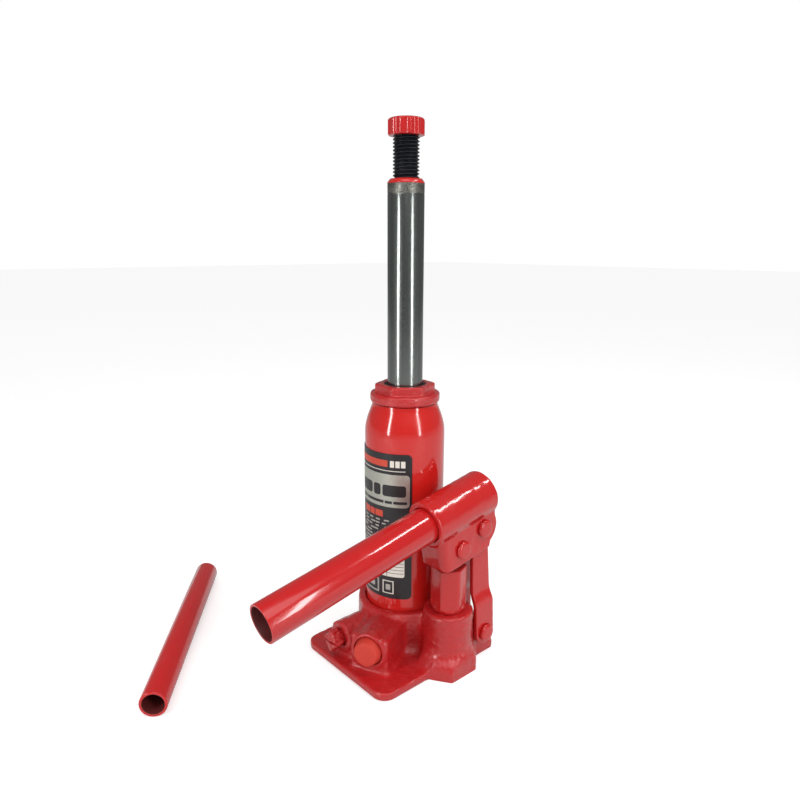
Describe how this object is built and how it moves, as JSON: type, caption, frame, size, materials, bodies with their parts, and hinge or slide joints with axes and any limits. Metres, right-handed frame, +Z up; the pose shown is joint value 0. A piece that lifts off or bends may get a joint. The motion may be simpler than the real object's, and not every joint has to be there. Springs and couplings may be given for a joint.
{
  "type": "car jack",
  "caption": "Hydraulic bottle jack with a raised ram, a threaded extension screw, a side pump worked by a tube handle, and a loose handle extension tube.",
  "frame": {"origin": "on the ram's axis at the underside of the base casting", "axes": "+Z up along the ram; the handle's free end points to -X; the pump, link and handle lie in a plane parallel to XZ on the -Y side"},
  "size_m": [0.2026, 0.2207, 0.331],
  "materials": {
    "red_paint": "glossy signal red paint",
    "bare_steel": "ground and polished",
    "dark_steel": "blackened",
    "ball_steel": "polished",
    "spring_steel": "drawn wire",
    "seal_rubber": "matte",
    "orange_plastic": "matte moulded",
    "copper_washer": "soft copper",
    "label_film": "printed film"
  },
  "bodies": {
    "base": {"base_casting": "red_paint", "reservoir_tube": "red_paint", "reservoir_bottom_seal": "seal_rubber", "ram_cylinder": "bare_steel", "cylinder_bottom_gasket": "copper_washer", "top_nut": "red_paint", "ram_wiper_seal": "seal_rubber", "ram_gland_seal": "seal_rubber", "label": "label_film", "filler_plug": "seal_rubber", "pump_cylinder": "red_paint", "pump_cylinder_gasket": "copper_washer", "delivery_spring": "spring_steel", "relief_valve_ball": "ball_steel", "relief_valve_spring": "spring_steel", "relief_valve_screw": "dark_steel", "relief_valve_cap": "orange_plastic", "suction_filter": "spring_steel", "link_base_pin": "red_paint"},
    "ram": {"ram": "bare_steel", "piston_cup_seal": "seal_rubber", "piston_retainer": "dark_steel"},
    "screw_ring": {"screw_stop_ring": "dark_steel"},
    "screw": {"extension_screw": "red_paint"},
    "link": {"link_plate_outer": "red_paint", "link_plate_inner": "red_paint"},
    "socket": {"handle_socket": "red_paint", "link_top_pin": "red_paint", "pump_pin": "red_paint"},
    "plunger": {"pump_plunger": "bare_steel", "plunger_seal": "seal_rubber"},
    "handle": {"handle_tube": "red_paint"},
    "extension": {"extension_tube": "red_paint"},
    "release_ball": {"release_ball": "ball_steel"},
    "release_valve": {"release_valve_screw": "red_paint", "release_valve_seal": "seal_rubber"},
    "suction_ball": {"suction_ball": "ball_steel"},
    "delivery_ball": {"delivery_ball": "ball_steel"}
  },
  "joints": [
    {"name": "ram_lift", "type": "slide", "parent": "base", "child": "ram", "axis": [0, 0, 1], "range_m": [-0.118, 0]},
    {"name": "screw_rise", "type": "slide", "parent": "ram", "child": "screw_ring", "axis": [0, 0, 1], "range_m": [-0.023, 0.025]},
    {"name": "screw_turn", "type": "hinge", "parent": "screw_ring", "child": "screw", "pos_m": [0, 0, 0.3215], "axis": [0, 0, 1], "range_deg": [-4141, 4501]},
    {"name": "link_hinge", "type": "hinge", "parent": "base", "child": "link", "pos_m": [0.0215, -0.0436, 0.0175], "axis": [0, 1, 0], "range_deg": [0, 1.5]},
    {"name": "handle_hinge", "type": "hinge", "parent": "link", "child": "socket", "pos_m": [0.017, -0.0436, 0.0905], "axis": [0, 1, 0], "range_deg": [0, 49.3]},
    {"name": "plunger_slide", "type": "slide", "parent": "base", "child": "plunger", "axis": [0, 0, 1], "range_m": [0, 0.0175]},
    {"name": "handle_pull", "type": "slide", "parent": "socket", "child": "handle", "axis": [-0.9834, 0, -0.1814], "range_m": [0, 0.05]},
    {"name": "extension_lift", "type": "slide", "parent": "base", "child": "extension", "axis": [0, 0, 1], "range_m": [0, 0.12]},
    {"name": "release_back_off", "type": "slide", "parent": "base", "child": "release_ball", "axis": [-1, 0, 0], "range_m": [0, 0.00187]},
    {"name": "release_turn", "type": "hinge", "parent": "release_ball", "child": "release_valve", "pos_m": [-0.052, 0.0025, 0.017], "axis": [-1, 0, 0], "range_deg": [0, 541]},
    {"name": "suction_ball_lift", "type": "slide", "parent": "base", "child": "suction_ball", "axis": [0, 0, 1], "range_m": [0, 0.001]},
    {"name": "delivery_ball_lift", "type": "slide", "parent": "base", "child": "delivery_ball", "axis": [0, 0, 1], "range_m": [0, 0.001], "stiffness_N_per_m": 60, "deforming": ["delivery_spring"]}
  ],
  "couplings": [
    {"joint": "screw_turn", "follows": "screw_rise", "rad_per_m": 3141.6},
    {"joint": "link_hinge", "follows": "handle_hinge", "ratio": 0.015},
    {"joint": "plunger_slide", "follows": "handle_hinge", "m_per_rad": 0.0201},
    {"joint": "release_turn", "follows": "release_back_off", "rad_per_m": 5026.5}
  ]
}
